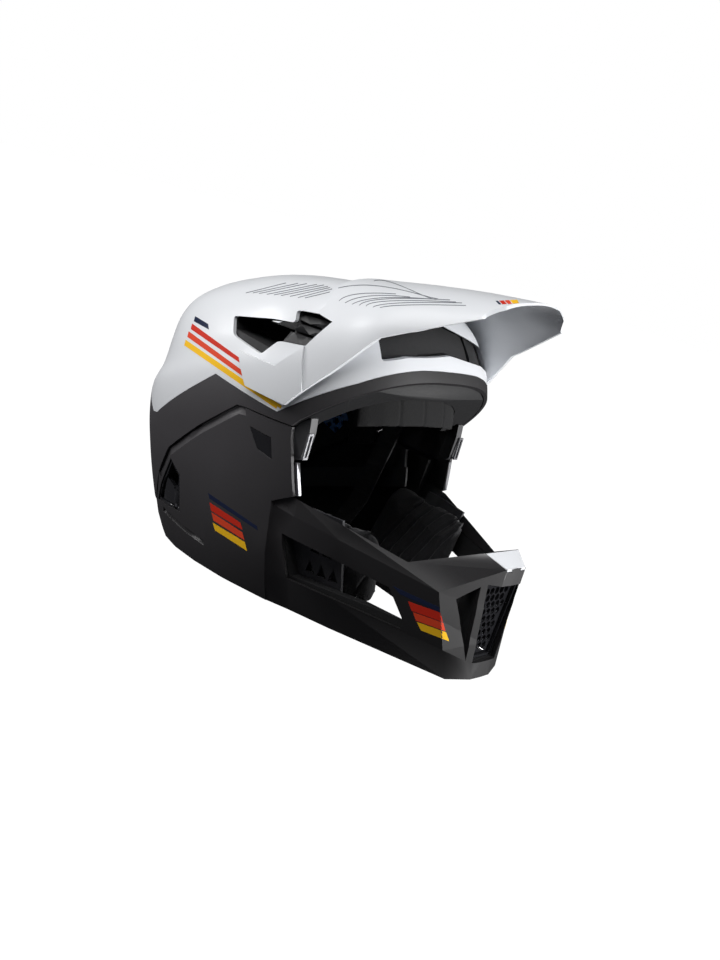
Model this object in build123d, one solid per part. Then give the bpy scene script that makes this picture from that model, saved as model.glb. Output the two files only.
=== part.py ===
from build123d import *
import os
from functools import cache
from math import cos, sin, radians, pi

os.makedirs("parts", exist_ok=True)

# A full face helmet for downhill riding, standing on its lower rim and facing -Y.
# The wearer's right is at -X. The open face helmet is drawn as it is worn and then tipped
# back onto the rim. The chin bar is drawn in the standing pose. Curved walls are drawn as
# fine facets over formula sections.

# Standing pose
stand_tilt_degrees = 20.7      # the worn helmet leans this far back when it stands on its rim
eye_height = 104.9             # height of the wearing origin over the floor

# Outer form of the worn helmet, measured from the wearing origin
dome_half_width = 114.0
dome_rear = 155.0
dome_front = 123.0
dome_height = 142.5
dome_depth = 125.0
oval_power = 2.6               # 2 is an ellipse, higher is boxier
oval_steps = 32

# Walls and gaps
shell_wall = 2.6
shell_gap = 0.4                # between a hard shell and the foam behind it
foam_inset = 24.0              # outer surface of the shell to the inside of the foam
seam_gap = 1.0                 # between the open face helmet and the chin bar
fit_gap = 0.35                 # running clearance of small pieces
overrun = 60.0                 # how far cutters reach past what they cut

# Chin bar
chin_wall = 3.0
chin_foam_inset = 16.0
chin_reach = 194.0             # front of the rim
chin_top_height = 94.2         # rear edge of the cap
arm_root_width = 96.0          # half width where the arms leave the side panels
arm_overlap = 1.0
cavity_reach = 14.0
cap_wall = 1.8
badge_wall = 1.1
badge_recess = 1.4
seam_band_recess = 1.3
band_groove = 1.6
trim_wall = 3.0

# Mouth grille
grille_face = 185.0            # front of the mesh
grille_wall = 2.5
grille_frame_wall = 2.0
grille_frame_depth = 13.0
grille_hole_radius = 2.9
grille_pitch = 6.4

# Visor
visor_wall = 2.8
visor_gap = 2.6
visor_reach = 212.0            # front of the visor ahead of the wearing origin
visor_join = 68.0              # where the visor leaves the form of the shell
visor_join_overlap = 5.0
pivot_forward = 11.0
pivot_height = 163.0
pivot_radius = 4.5
pivot_head_radius = 7.0
pivot_socket = 0.3             # how far the pivot stud's tip stands past the visor's gap

# Inner fittings
disc_radius = 12.5
disc_wall = 5.0
disc_bore_radius = 3.5
disc_holes = 5
disc_sides = 24                # the discs' rims are drawn with this many sides
pad_wall = 7.0
pad_gap = 0.6
cradle_wall = 2.4
cradle_gap = 4.0               # between the foam and the cradle
cradle_low = -30.0             # against the wearing origin
cradle_height = 17.0
cradle_front = 22.0
cradle_travel = 12.0
dial_radius = 15.0
dial_wall = 7.0
dial_ridges = 18
dial_ridge_radius = 1.3
dial_level = -36.0
housing_wall = 7.0
housing_half_width = 18.0
housing_height = 26.0
dial_pin_radius = 2.5
rail_width = 3.0
strap_width = 18.0
strap_wall = 2.0
strap_middle = -2.0            # ahead of the middle of the helmet
buckle_half_length = 15.0
buckle_width = 23.0
buckle_wall = 8.0
buckle_height = 16.0
tongue_wall = 2.6
tongue_reach = 7.0

# Latches
lever_inset = 2.0
lever_wall = 4.0
pan_inset = 10.0
pan_wall = 2.0
latch_pin_radius = 1.5
running_gap = 0.08
latch_swing_room = 1.4          # behind the lugs, for the lever's corner as it turns
latch_boss_radius = 3.2
boss_sides = 16                 # the levers' bosses are drawn with this many sides
latch_lug_height = 3.0
latch_forward = -60.0
latch_low = 36.0
latch_high = 53.0

# Cheek pads
carrier_wall = 2.4
carrier_gap = 1.5
pad_thickness = 21.0
pad_edge_share = 0.45
cheek_low = 20.0
cheek_high = 86.0

span = (dome_front + dome_rear) / 2
rise = eye_height + dome_height
width = 2 * dome_half_width

side_view = Plane(origin=(0, 0, 0), x_dir=(0, -1, 0), z_dir=(-1, 0, 0))
front_view = Plane(origin=(0, 0, 0), x_dir=(1, 0, 0), z_dir=(0, -1, 0))
stand = Pos(0, 0, eye_height) * Rot(-stand_tilt_degrees, 0, 0)


def signed_power(value, exponent):
    return abs(value) ** exponent * (1 if value >= 0 else -1)


def outline_face(points, shrink=0):
    face = make_face(Polyline(*points, close=True))
    return offset(face, amount=-shrink, kind=Kind.INTERSECTION) if shrink else face


def side_prism(points, shrink=0, reach=width):
    """A prism right across the helmet from an outline of (forward, up) points."""
    return extrude(side_view * outline_face(points, shrink), amount=reach, both=True)


def front_prism(points, near, far, shrink=0):
    """A prism from an outline of (sideways, up) points, between two distances ahead."""
    return extrude(Pos(0, -near, 0) * (front_view * outline_face(points, shrink)), amount=far - near)


def drawn(shares, along=span, up=rise):
    """Turns an outline of shares into real points."""
    return [(a * along, b * up) for a, b in shares]


def moved(points, along, up):
    return [(a + along, b + up) for a, b in points]


def block(left, right, rear, front, low, high):
    """A box given by its sides, with rear and front measured ahead of the middle."""
    return Pos((left + right) / 2, -(rear + front) / 2, (low + high) / 2) * Box(
        right - left, front - rear, high - low)


def mirrored(shape):
    return mirror(shape, about=Plane.YZ)


def facets(rings, apex=None):
    """A closed solid over a row of like rings, with three-cornered facets between them."""
    faces = [Face(Wire(Polyline(*rings[0], close=True)))]
    count = len(rings[0])
    for low, high in zip(rings, rings[1:]):
        for i in range(count):
            j = (i + 1) % count
            faces.append(Face(Wire(Polyline(low[i], low[j], high[i], close=True))))
            faces.append(Face(Wire(Polyline(low[j], high[j], high[i], close=True))))
    last = rings[-1]
    if apex is None:
        faces.append(Face(Wire(Polyline(*last, close=True))))
    else:
        for i in range(count):
            faces.append(Face(Wire(Polyline(last[i], last[(i + 1) % count], apex, close=True))))
    return Solid(Shell(faces))


nodes = {}


def save(name, *shapes):
    """Keeps one node, as one solid or as a group of separate solids."""
    nodes[name] = [solid for shape in shapes for solid in shape.solids()]


# Level, half width, rear, front and middle of each section of the dome, as shares of the
# dome's height or depth, half width, rear, front and rear.
dome_shares = [
    (-1.00, 0.614, 0.813, 0.780, 0.0),
    (-0.80, 0.730, 0.890, 0.820, 0.0),
    (-0.60, 0.816, 0.955, 0.860, 0.0),
    (-0.40, 0.865, 1.000, 0.900, 0.0),
    (-0.16, 0.925, 1.006, 0.940, 0.0),
    (0.08, 0.972, 0.995, 0.970, 0.0),
    (0.25, 0.998, 0.975, 0.990, 0.0),
    (0.40, 0.998, 0.935, 0.990, 0.0),
    (0.51, 0.974, 0.845, 0.965, 0.0),
    (0.64, 0.930, 0.800, 0.910, 0.0),
    (0.76, 0.855, 0.780, 0.800, 0.0),
    (0.86, 0.740, 0.735, 0.620, -0.02),
    (0.93, 0.575, 0.635, 0.310, -0.10),
    (0.975, 0.370, 0.505, 0.050, -0.22),
    (0.995, 0.160, 0.365, -0.200, -0.26),
]
apex_share = -0.26


@cache
def worn_dome(inset):
    """The helmet's outer form drawn in by an inset, closed at the top and at its foot."""
    rings = []
    wide, back, ahead = dome_half_width - inset, dome_rear - inset, dome_front - inset
    for level, w, b, a, m in dome_shares:
        height = level * (dome_height - inset) if level > 0 else level * dome_depth
        middle = m * back
        ring = []
        for step in range(oval_steps):
            angle = 2 * pi * step / oval_steps
            reach = a * ahead - middle if sin(angle) > 0 else b * back + middle
            ring.append((w * wide * signed_power(cos(angle), 2 / oval_power),
                         -middle - reach * signed_power(sin(angle), 2 / oval_power), height))
        rings.append(ring)
    return facets(rings, (0, -apex_share * back, dome_height - inset))


@cache
def dome(inset):
    return stand * worn_dome(inset)


def layer(near, far, zone):
    """A curved layer of the helmet between two insets, within a zone."""
    return (dome(near) & zone) - dome(far)


# Outlines in the side view, as shares of the span and the rise
sky_share = 1.4
white_edge_shares = [
    (-1.35, 0.53), (-0.92, 0.455), (-0.76, 0.405), (-0.70, 0.412), (-0.225, 0.622),
    (0.235, 0.592), (0.54, 0.738), (0.66, 0.81), (1.10, 0.98),
]
brow_edge_shares = [(0.33, 0.568), (0.35, 0.585), (0.60, 0.727), (0.70, 0.785), (1.15, 0.955)]
chin_seam_shares = [
    (-0.71, 0.108), (-0.63, 0.228), (-0.525, 0.328), (-0.26, 0.457),
    (-0.02, 0.564), (0.03, 0.568), (0.33, 0.568),
]
nape_share = (-1.5, 0.108)
panel_front_shares = [(0.34, 0.53), (0.415, 0.37), (0.30, 0.33)]
panel_foot_share = -0.83
panel_heel_share = -0.80
vent_foot_shares = [(-0.209, 0.746), (0.033, 0.728)]
liner_vent_foot_shares = [(-0.232, 0.762), (0.055, 0.752)]
vent_round_shares = [
    (0.101, 0.781), (0.26, 0.793), (0.325, 0.868), (0.30, 0.893), (0.10, 0.877),
    (0.136, 0.843), (0.0, 0.832), (-0.280, 0.796),
]
visor_rail_shares = [
    (0.10, 0.879), (0.226, 0.897), (0.325, 0.868), (0.262, 0.791), (0.101, 0.779), (0.136, 0.843)]
visor_side_shares = [
    (0.13, 1.4), (0.173, 0.995), (0.184, 0.969), (0.233, 0.935), (0.244, 0.914),
    (0.235, 0.893), (0.259, 0.888), (0.341, 0.881), (0.275, 0.792), (0.177, 0.717),
    (-0.086, 0.717), (0.035, 0.632), (0.29, 0.622), (0.618, 0.882),
    (1.042, 1.025), (1.45, 1.07), (1.45, 1.4),
]
badge_shares = [(0.082, 0.519), (0.232, 0.513), (0.26, 0.451), (0.158, 0.463)]
latch_shares = [(-0.675, 0.118), (-0.495, 0.298), (-0.395, 0.262), (-0.38, 0.138)]
lever_shares = [(-0.60, 0.136), (-0.414, 0.150), (-0.414, 0.20), (-0.545, 0.222)]
trim_shares = [(0.376, 0.466), (0.387, 0.466), (0.430, 0.374), (0.419, 0.370)]
bracket_shares = [
    (0.30, 0.5655), (0.333, 0.5655), (0.353, 0.583), (0.395, 0.603), (0.405, 0.560),
    (0.395, 0.482), (0.365, 0.472), (0.30, 0.478),
]
window_shares = [(0.268, 0.637), (0.30, 0.276), (0.765, 0.255), (0.77, 0.33), (0.70, 0.552)]
foam_window_shares = [(0.268, 0.637), (0.30, 0.30), (0.765, 0.325), (0.765, 0.37), (0.70, 0.552)]

# Outlines in the front view, as shares of half the width and the rise
front_vent_shares = [
    (-0.585, 0.88), (-0.60, 0.811), (-0.42, 0.836), (0.0, 0.858), (0.42, 0.836), (0.60, 0.811),
    (0.585, 0.88), (0.0, 0.935)]
liner_front_vent_share = 0.30  # half the width of the brow vent in the foam
rear_vent_shares = [(0.10, 0.83), (0.52, 0.80), (0.46, 0.72), (0.12, 0.74)]

# Zones that the seams cut out of the helmet
base_zone = side_prism(drawn([nape_share] + chin_seam_shares + brow_edge_shares[1:] + [
    (brow_edge_shares[-1][0], sky_share), (nape_share[0], sky_share)]))
white_zone = side_prism(drawn(white_edge_shares + [
    (white_edge_shares[-1][0], sky_share), (white_edge_shares[0][0], sky_share)]))
side_vent_shares = vent_foot_shares + vent_round_shares
side_vents = side_prism(drawn(side_vent_shares))
front_vent = front_prism(drawn(front_vent_shares, dome_half_width), 0, dome_front + overrun)
rear_vents = [
    front_prism([(side * a * dome_half_width, b * rise) for a, b in rear_vent_shares],
                -dome_rear - overrun, -dome_rear / 2) for side in (-1, 1)]
top_slot_half_width_share = 0.075
top_slot_rear_share, top_slot_front_share = -0.17, 0.075
top_slot = block(-top_slot_half_width_share * dome_half_width,
                 top_slot_half_width_share * dome_half_width,
                 top_slot_rear_share * span, top_slot_front_share * span,
                 eye_height + dome_height / 2, rise + overrun)
vents = [side_vents, front_vent, top_slot] + rear_vents
liner_half = liner_front_vent_share * dome_half_width
liner_vents = [
    side_prism(drawn(liner_vent_foot_shares + vent_round_shares)),
    front_vent & block(-liner_half, liner_half, 0, dome_front + overrun, 0, rise),
    top_slot] + rear_vents

# Upper shell: thin white moulding over the crown, cut by the vents
upper_shell = (dome(0) & white_zone) - vents
upper_shell -= dome(shell_wall)

# Lower shell: black band over the brow, the temples and the nape
lower_zone = base_zone - Pos(0, 0, -fit_gap) * white_zone
lower_shell = layer(0, shell_wall, lower_zone)

# Pivot studs: each stands through the shell and ends inside the visor's arm
stud_length = foam_inset / 2
stud_tip = dome_half_width + visor_gap + pivot_socket
stud_place = Pos(-stud_tip + stud_length / 2, -pivot_forward, pivot_height) * Rot(0, 90, 0)
pivot_stud = stud_place * Cylinder(pivot_radius, stud_length)
pivot_stud += Pos(-stud_tip + stud_length, -pivot_forward, pivot_height) * Rot(0, 90, 0) * Cylinder(
    pivot_head_radius, 2 * shell_gap + shell_wall, align=(Align.CENTER, Align.CENTER, Align.MIN))
stud_bore = Pos(-dome_half_width, -pivot_forward, pivot_height) * Rot(0, 90, 0) * Cylinder(
    pivot_radius + fit_gap, 2 * stud_length)
socket_bore = Pos(-stud_tip - fit_gap, -pivot_forward, pivot_height) * Rot(0, 90, 0) * Cylinder(
    pivot_radius + fit_gap, stud_length, align=(Align.CENTER, Align.CENTER, Align.MIN))
head_bore = Pos(-stud_tip + stud_length - fit_gap, -pivot_forward, pivot_height) * Rot(
    0, 90, 0) * Cylinder(pivot_head_radius + fit_gap, 2 * stud_length,
                         align=(Align.CENTER, Align.CENTER, Align.MIN))
for side_bore in (stud_bore, mirrored(stud_bore)):
    upper_shell -= side_bore
save("upper_shell", upper_shell)
save("lower_shell", lower_shell)
save("visor_pivots", pivot_stud, mirrored(pivot_stud))

# Foam liner, with seats for the discs and a well for the dial behind the head
liner_outer = shell_wall + shell_gap
liner = (dome(liner_outer) & base_zone) - liner_vents
liner -= dome(foam_inset)
well_half_width = housing_half_width + rail_width + 2 * fit_gap
dial_well = stand * block(-well_half_width, well_half_width,
                          -dome_rear + shell_wall + foam_inset / 4, -dome_rear / 2,
                          dial_level - overrun, cradle_low + cradle_height + 2 * cradle_travel)
liner -= dial_well
for bore in (stud_bore, head_bore, mirrored(stud_bore), mirrored(head_bore)):
    liner -= bore

# Turbine discs set in the foam: side, forward and level of each seat, and its turn
disc_place_shares = [(0.755, -0.40, 0.20, 14), (0.748, 0.30, 0.30, -17)]
disc_slot_shares = [(0.42, -0.16), (0.86, -0.30), (0.86, 0.10), (0.42, 0.14)]
discs = []
disc_seats = []
for x_share, f_share, level_share, turn in disc_place_shares:
    for side in (-1, 1):
        place = stand * Pos(side * x_share * dome_half_width, -f_share * dome_rear,
                            level_share * dome_height) * Rot(0, 0, side * turn) * Rot(0, 90, 0)
        disc = extrude(RegularPolygon(disc_radius, disc_sides), amount=disc_wall / 2, both=True)
        disc -= extrude(RegularPolygon(disc_bore_radius, disc_holes), amount=disc_wall, both=True)
        slot = extrude(outline_face(drawn(disc_slot_shares, disc_radius, disc_radius)),
                       amount=disc_wall, both=True)
        disc -= [Rot(0, 0, 360 * step / disc_holes) * slot for step in range(disc_holes)]
        discs.append(place * disc)
        disc_seats.append(place * extrude(RegularPolygon(disc_radius + fit_gap, disc_sides),
                                          amount=disc_wall / 2 + fit_gap, both=True))
liner -= disc_seats
save("eps_liner", liner)
save("turbine_discs", *discs)

# Comfort pads lie on the inside of the foam
pad_near = foam_inset + pad_gap
pad_layer = dome(pad_near) - dome(pad_near + pad_wall)


def worn_zone(left, right, rear, front, low, high):
    return stand * block(left, right, rear, front, low, high)


crown_half_width, crown_pad_middle = 11.0, 24.0
crown_pad_rear, crown_pad_front, crown_pad_low = -44.0, 66.0, 66.0
brow_half_width, brow_low, brow_high = 62.0, 16.0, 42.0
side_pad_rear, side_pad_front, side_pad_low, side_pad_high = -46.0, -14.0, 6.0, 36.0
crown_pads = []
for middle in (-crown_pad_middle, crown_pad_middle):
    crown_pads.append(pad_layer & worn_zone(
        middle - crown_half_width, middle + crown_half_width, crown_pad_rear,
        crown_pad_front, crown_pad_low, dome_height))
save("crown_pads", *crown_pads)
save("brow_pad", pad_layer & worn_zone(
    -brow_half_width, brow_half_width, dome_front / 2, dome_front, brow_low, brow_high))
save("side_pads", *[pad_layer & worn_zone(
    min(0, side * width), max(0, side * width), side_pad_rear, side_pad_front, side_pad_low,
    side_pad_high) for side in (-1, 1)])

# Retention cradle round the back of the head, with its anchors, rails and dial
cradle_near = foam_inset + cradle_gap
cradle_zone = worn_zone(-width, width, -dome_rear, cradle_front, cradle_low,
                        cradle_low + cradle_height)
save("cradle", layer(cradle_near, cradle_near + cradle_wall, cradle_zone))
anchor_rear, anchor_front = 8.0, 18.0
anchor_low, anchor_high = cradle_low + 6, cradle_low + cradle_height + cradle_travel + 3
anchor_zone = worn_zone(-width, width, anchor_rear, anchor_front, anchor_low, anchor_high)
save("cradle_anchors", layer(foam_inset + fit_gap / 2, cradle_near - fit_gap, anchor_zone))
housing_rear = -dome_rear + cradle_near - fit_gap - housing_wall
housing_front = housing_rear + housing_wall
dial_front = housing_rear - fit_gap
housing_low = dial_level - housing_height / 2
housing_high = cradle_low + cradle_height
housing = worn_zone(-housing_half_width, housing_half_width, housing_rear, housing_front,
                    housing_low, housing_high) - dome(cradle_near - fit_gap)
dial_place = stand * Pos(0, -dial_front, dial_level) * Rot(-90, 0, 0)
pin_depth = housing_wall / 2
housing -= dial_place * Pos(0, 0, -pin_depth) * Cylinder(
    dial_pin_radius + fit_gap, dial_wall, align=(Align.CENTER, Align.CENTER, Align.MIN))
save("dial_housing", housing)
dial = extrude(RegularPolygon(dial_radius, 2 * dial_ridges), amount=dial_wall)
for step in range(dial_ridges):
    dial -= Rot(0, 0, 360 * step / dial_ridges) * Pos(dial_radius, 0, 0) * Box(
        2 * dial_ridge_radius, dial_ridge_radius, 3 * dial_wall)
dial += Pos(0, 0, -pin_depth + fit_gap) * Cylinder(
    dial_pin_radius, pin_depth, align=(Align.CENTER, Align.CENTER, Align.MIN))
save("retention_dial", dial_place * dial)
rail_low, rail_high = cradle_low, cradle_low + cradle_height + 2 * cradle_travel - 2
rail_left = housing_half_width + fit_gap
save("height_rails", *[worn_zone(
    min(side * rail_left, side * (rail_left + rail_width)),
    max(side * rail_left, side * (rail_left + rail_width)),
    housing_rear, housing_front, rail_low, rail_high) for side in (-1, 1)])

# Chin bar: sections along one half, from the arm's root to the middle of the chin. Each has
# its foot, ridge, top and inner foot as shares of the root's half width, the reach and the
# top's height, a bulge share, and the way it faces in plan.
chin_station_shares = [
    ((0.807, 0.186), (1.026, 0.186, 0.828), (1.016, 0.186, 0.966), (0.625, 0.186), 0.045, (1, 0)),
    ((0.729, 0.309), (0.964, 0.309, 0.810), (0.974, 0.309, 0.951), (0.573, 0.309), 0.026, (1, 0)),
    ((0.641, 0.490), (0.833, 0.490, 0.766), (0.815, 0.490, 0.879), (0.490, 0.490), 0.010, (1, 0)),
    ((0.354, 0.956), (0.554, 0.880, 0.673), (0.596, 0.729, 0.782), (0.448, 0.784), 0, (0.6, 0.8)),
    ((0.132, 0.996), (0.132, 1.003, 0.926), (0.235, 0.923, 1.000), (0.156, 0.887), 0, (0, 1)),
    ((0, 0.998), (0, 1.005, 0.930), (0, 0.925, 1.004), (0, 0.887), 0, (0, 1)),
]
bulge_at_shares = [(0.34, 0.95), (0.68, 1.0)]
ridge_drop_share = 0.6


def chin_point(side_share, ahead_share, up_share=0):
    return Vector(side_share * arm_root_width, -ahead_share * chin_reach,
                  up_share * chin_top_height)


def chin_half(wall=None):
    """One half of the chin bar's outer form, or the room inside a wall, open to the inside."""
    rings = []
    for number, (foot, ridge, top, inner, bulge, (side, ahead)) in enumerate(chin_station_shares):
        out = Vector(side, -ahead, 0)
        foot, ridge = chin_point(*foot), chin_point(*ridge)
        top, inner = chin_point(*top), chin_point(*inner)
        ring = [foot]
        for along, swell in bulge_at_shares:
            ring.append(foot + (ridge - foot) * along + out * (bulge * swell * arm_root_width))
        ring += [ridge, top, inner]
        if wall:
            up = Vector(0, 0, wall)
            shifts = [up - out * wall, out * -wall, out * -wall,
                      up * -ridge_drop_share - out * wall, -up - out * cavity_reach,
                      up - out * cavity_reach]
            ring = [point + shift for point, shift in zip(ring, shifts)]
            if number == 0:
                ring = [point + Vector(0, arm_overlap, 0) for point in ring]
        rings.append(ring)
    return facets(rings)


panel_zone_points = (
    [(panel_heel_share * span, chin_seam_shares[0][1] * rise - seam_gap)]
    + moved(drawn(chin_seam_shares), seam_gap / 2, -seam_gap) + drawn(panel_front_shares)
    + [(panel_front_shares[-1][0] * span, 0), (panel_foot_share * span, 0)])
nape_half_width = 50.0
nape_cut = block(-nape_half_width, nape_half_width, -dome_rear, -dome_rear / 3, -overrun,
                 eye_height)
panel_zone = side_prism(panel_zone_points) - nape_cut
foam_top_share = 0.45
foam_zone = panel_zone & block(-width, width, -dome_rear,
                               chin_station_shares[0][0][1] * chin_reach,
                               0, foam_top_share * rise)

outer_half = chin_half()
foam_near = chin_wall + shell_gap
chin_foam = outer_half & chin_half(foam_near)
chin_foam += mirrored(chin_foam)
chin_foam = chin_foam - layer(-shell_wall, foam_near, panel_zone)
chin_foam += layer(foam_near, chin_foam_inset, foam_zone)

# What is cut through the chin bar
windows = side_prism(drawn(window_shares, chin_reach, chin_top_height))
mouth_shares = [(0.422, 0.243), (0.277, 0.291), (0.215, 0.058)]
mouth_holes = [front_prism([(side * a * arm_root_width, b * rise) for a, b in mouth_shares],
                           chin_reach * 0.7, chin_reach + overrun) for side in (-1, 1)]
grille_shares = [(0.232, 0.300), (-0.232, 0.300), (-0.158, 0.054), (0.158, 0.054)]
grille_outline = drawn(grille_shares, arm_root_width, rise)
grille_rear = grille_face - grille_wall - fit_gap
grille_hole = front_prism(grille_outline, chin_reach * 0.7, chin_reach + overrun)
latch_recess = layer(-1, pan_inset + pan_wall + fit_gap, side_prism(drawn(latch_shares)))
badge_zone = side_prism(drawn(badge_shares))
cap_shares = [(-0.235, 0.923), (-0.132, 1.004), (0.132, 1.004), (0.235, 0.923)]
cap_outline = [(a * arm_root_width, b * chin_reach) for a, b in cap_shares]


def cap_prism(shrink, under, over):
    """The plate on the chin's sloping brow, between a depth under it and a height over it."""
    rear_at, front_at = cap_outline[0][1], cap_outline[1][1]
    lean = (1 - chin_station_shares[4][1][2]) * chin_top_height / (front_at - rear_at)
    low = []
    top = []
    for x, f in cap_outline:
        x -= shrink * (1 if x > 0 else -1)
        f += shrink * (1 if f == rear_at else -1)
        height = chin_top_height - lean * (f - rear_at)
        low.append((x, -f, height - under))
        top.append((x, -f, height + over))
    return facets([low, top])


chin_cap = cap_prism(fit_gap, cap_wall, 0)
band_shares = [(-0.585, 0.110), (-0.15, 0.093)]
band_width = 4.0
band_points = drawn(band_shares)
band_zone = side_prism(band_points + moved(band_points[::-1], 0, -band_width))
seam_band_width = 5.0
seam_points = moved(drawn(chin_seam_shares[1:-1]), seam_gap / 2, -seam_gap)
seam_zone = side_prism(seam_points + moved(seam_points[::-1], seam_band_width / 2,
                                           -seam_band_width))
panel = layer(0, chin_wall, panel_zone) - latch_recess
panel -= layer(-1, badge_recess, badge_zone)
panel -= layer(-1, band_groove, band_zone)
panel -= layer(-1, seam_band_recess, seam_zone)
chin_shell = outer_half - chin_half(chin_wall)
chin_shell += mirrored(chin_shell)
chin_shell += panel
chin_foam -= latch_recess
for cutter in (mouth_holes, grille_hole):
    chin_shell -= cutter
    chin_foam -= cutter
chin_shell -= windows
chin_foam -= side_prism(drawn(foam_window_shares, chin_reach, chin_top_height))
chin_shell -= cap_prism(0, cap_wall + fit_gap, cap_wall)
save("chin_bar_shell", chin_shell)
save("chin_liner", chin_foam)
save("chin_cap", chin_cap)
badge_plate = layer((badge_recess - badge_wall) / 2, badge_recess - fit_gap / 2,
                    side_prism(drawn(badge_shares), fit_gap))
save("badge_plates", badge_plate)
save("port_trims", layer(chin_wall + shell_gap, chin_wall + shell_gap + trim_wall,
                         side_prism(drawn(trim_shares))))

# Grille: a frame seated in the chin's opening and a mesh plate inside the frame
frame_outer = outline_face(grille_outline, fit_gap)
frame_inner = outline_face(grille_outline, fit_gap + grille_frame_wall)
plate_face = outline_face(grille_outline, 2 * fit_gap + grille_frame_wall)
frame_front = grille_face + grille_wall
save("grille_frame", Pos(0, -frame_front + grille_frame_depth, 0) * extrude(
    front_view * (frame_outer - frame_inner), amount=grille_frame_depth))
plate = extrude(plate_face, amount=-grille_wall)
cell = extrude(RegularPolygon(grille_hole_radius, 6), amount=grille_wall, both=True)
grille_low, grille_high = grille_shares[2][1] * rise, grille_shares[0][1] * rise
row_step = grille_pitch * cos(radians(30))
rows = int((grille_high - grille_low - grille_pitch) / row_step)
grille_border = fit_gap * 2 + grille_frame_wall + grille_hole_radius + fit_gap
cells = []
for row in range(rows):
    up = (grille_high + grille_low) / 2 + (row - (rows - 1) / 2) * row_step
    share = (up - grille_low) / (grille_high - grille_low)
    half = arm_root_width * (grille_shares[2][0] + share * (grille_shares[1][0]
                                                           - grille_shares[2][0]))
    room = abs(half) - grille_border
    count = int(2 * room / grille_pitch)
    count -= (count - row) % 2
    for step in range(count + 1):
        cells.append(Pos((step - count / 2) * grille_pitch, up, 0) * Rot(0, 0, 30) * cell)
cells = [front_view * cell for cell in cells]
save("mouth_grille", Pos(0, -grille_face, 0) * (front_view * plate - cells))

# Temple brackets behind the chin bar's upper front corners, with their clips
bracket_low, bracket_high = 4.0, 10.5
bracket_zone = side_prism(drawn(bracket_shares))
brackets = layer(bracket_low, bracket_high, bracket_zone)
save("temple_bracket_right", brackets.solids().sort_by(Axis.X)[0])
save("temple_bracket_left", brackets.solids().sort_by(Axis.X)[-1])
clip_rear, clip_depth = bracket_shares[4][0] * span + fit_gap, 1.5
clip_low, clip_high = bracket_shares[5][1] * rise, bracket_shares[4][1] * rise
clip_width, clip_wall = 5.0, 1.3
bracket_box = brackets.solids().sort_by(Axis.X)[-1].bounding_box()
clip_side = (bracket_box.min.X + bracket_box.max.X) / 2
clips = []
for side in (-1, 1):
    clip = block(side * clip_side - clip_width / 2, side * clip_side + clip_width / 2,
                 clip_rear, clip_rear + clip_depth, clip_low, clip_high)
    clip -= block(side * clip_side - clip_width / 2 + clip_wall,
                  side * clip_side + clip_width / 2 - clip_wall, clip_rear,
                  clip_rear + clip_depth, clip_low + clip_wall, clip_high - clip_wall)
    clips.append(clip)
save("bracket_clips", *clips)

# Cheek pads on their carriers, inside the arms
pad_station_shares = [(0.085, 0.55, 0), (0.13, 0.86, 0), (0.24, 1.0, 0), (0.40, 1.0, 0),
                      (0.49, 0.92, 0), (0.555, 0.84, 0.14), (0.575, 0.60, 0.16)]
pad_corner_share = 0.22
pad_height = cheek_high - cheek_low
wall_stations = [(chin_point(*top), chin_point(*inner))
                 for foot, ridge, top, inner, bulge, facing in chin_station_shares[:4]]


def wall_side(ahead, up, gap):
    """How far out the arm's inner wall stands at a place, less a gap."""
    rows = []
    for top, inner in wall_stations:
        share = up / top.Z
        rows.append((-inner.Y - share * (top.Y - inner.Y), inner.X + share * (top.X - inner.X)))
    first, second = rows[0], rows[1]
    for low, high in zip(rows, rows[1:]):
        if low[0] <= ahead:
            first, second = low, high
    side = first[1] + (ahead - first[0]) * (second[1] - first[1]) / (second[0] - first[0])
    return min(side, rows[0][1]) - gap


def cheek_ring(ahead, low, high, near, far):
    corner = pad_corner_share * (high - low) * (far - near) / pad_thickness
    return [
        (wall_side(ahead, low, near), -ahead, low),
        (wall_side(ahead, high, near), -ahead, high),
        (wall_side(ahead, high, (near + far) / 2), -ahead, high),
        (wall_side(ahead, high - corner, far), -ahead, high - corner),
        (wall_side(ahead, low + corner, far), -ahead, low + corner),
        (wall_side(ahead, low, (near + far) / 2), -ahead, low),
    ]


pad_gap_side = 2 * carrier_gap + carrier_wall
cheek_rings = []
for ahead_share, thick, stand_off in pad_station_shares:
    edge = (1 - thick) * pad_thickness / 2
    near = pad_gap_side + stand_off * pad_thickness
    cheek_rings.append(cheek_ring(ahead_share * chin_reach, cheek_low + edge, cheek_high - edge,
                                  near, near + thick * pad_thickness))
free_front_share = 0.36         # ahead of this the arms have left the form of the shell
pad_room = dome(chin_foam_inset + carrier_gap) + block(
    -width, width, free_front_share * chin_reach, chin_reach, 0, rise)
cheek_pad = facets(cheek_rings) & pad_room
save("cheek_pad_left", cheek_pad)
save("cheek_pad_right", mirrored(cheek_pad))
carrier_shares = [0.235, 0.309, 0.478]
carrier_rings = [[
    (wall_side(a * chin_reach, cheek_low, carrier_gap), -a * chin_reach, cheek_low),
    (wall_side(a * chin_reach, cheek_high, carrier_gap), -a * chin_reach, cheek_high),
    (wall_side(a * chin_reach, cheek_high, carrier_gap + carrier_wall), -a * chin_reach,
     cheek_high),
    (wall_side(a * chin_reach, cheek_low, carrier_gap + carrier_wall), -a * chin_reach,
     cheek_low)] for a in carrier_shares]
carrier = facets(carrier_rings)
carrier_hole_shares = [(-0.020, -0.08), (0.020, -0.08), (0.0, 0.10)]
carrier_hole_places = [(0.345, 0.28), (0.395, 0.28), (0.445, 0.28), (0.37, 0.56), (0.42, 0.56)]
carrier -= [side_prism([((a + ahead) * chin_reach, cheek_low + (b + up) * pad_height)
                        for a, b in carrier_hole_shares]) for ahead, up in carrier_hole_places]
save("cheek_carrier_left", carrier)
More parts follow.
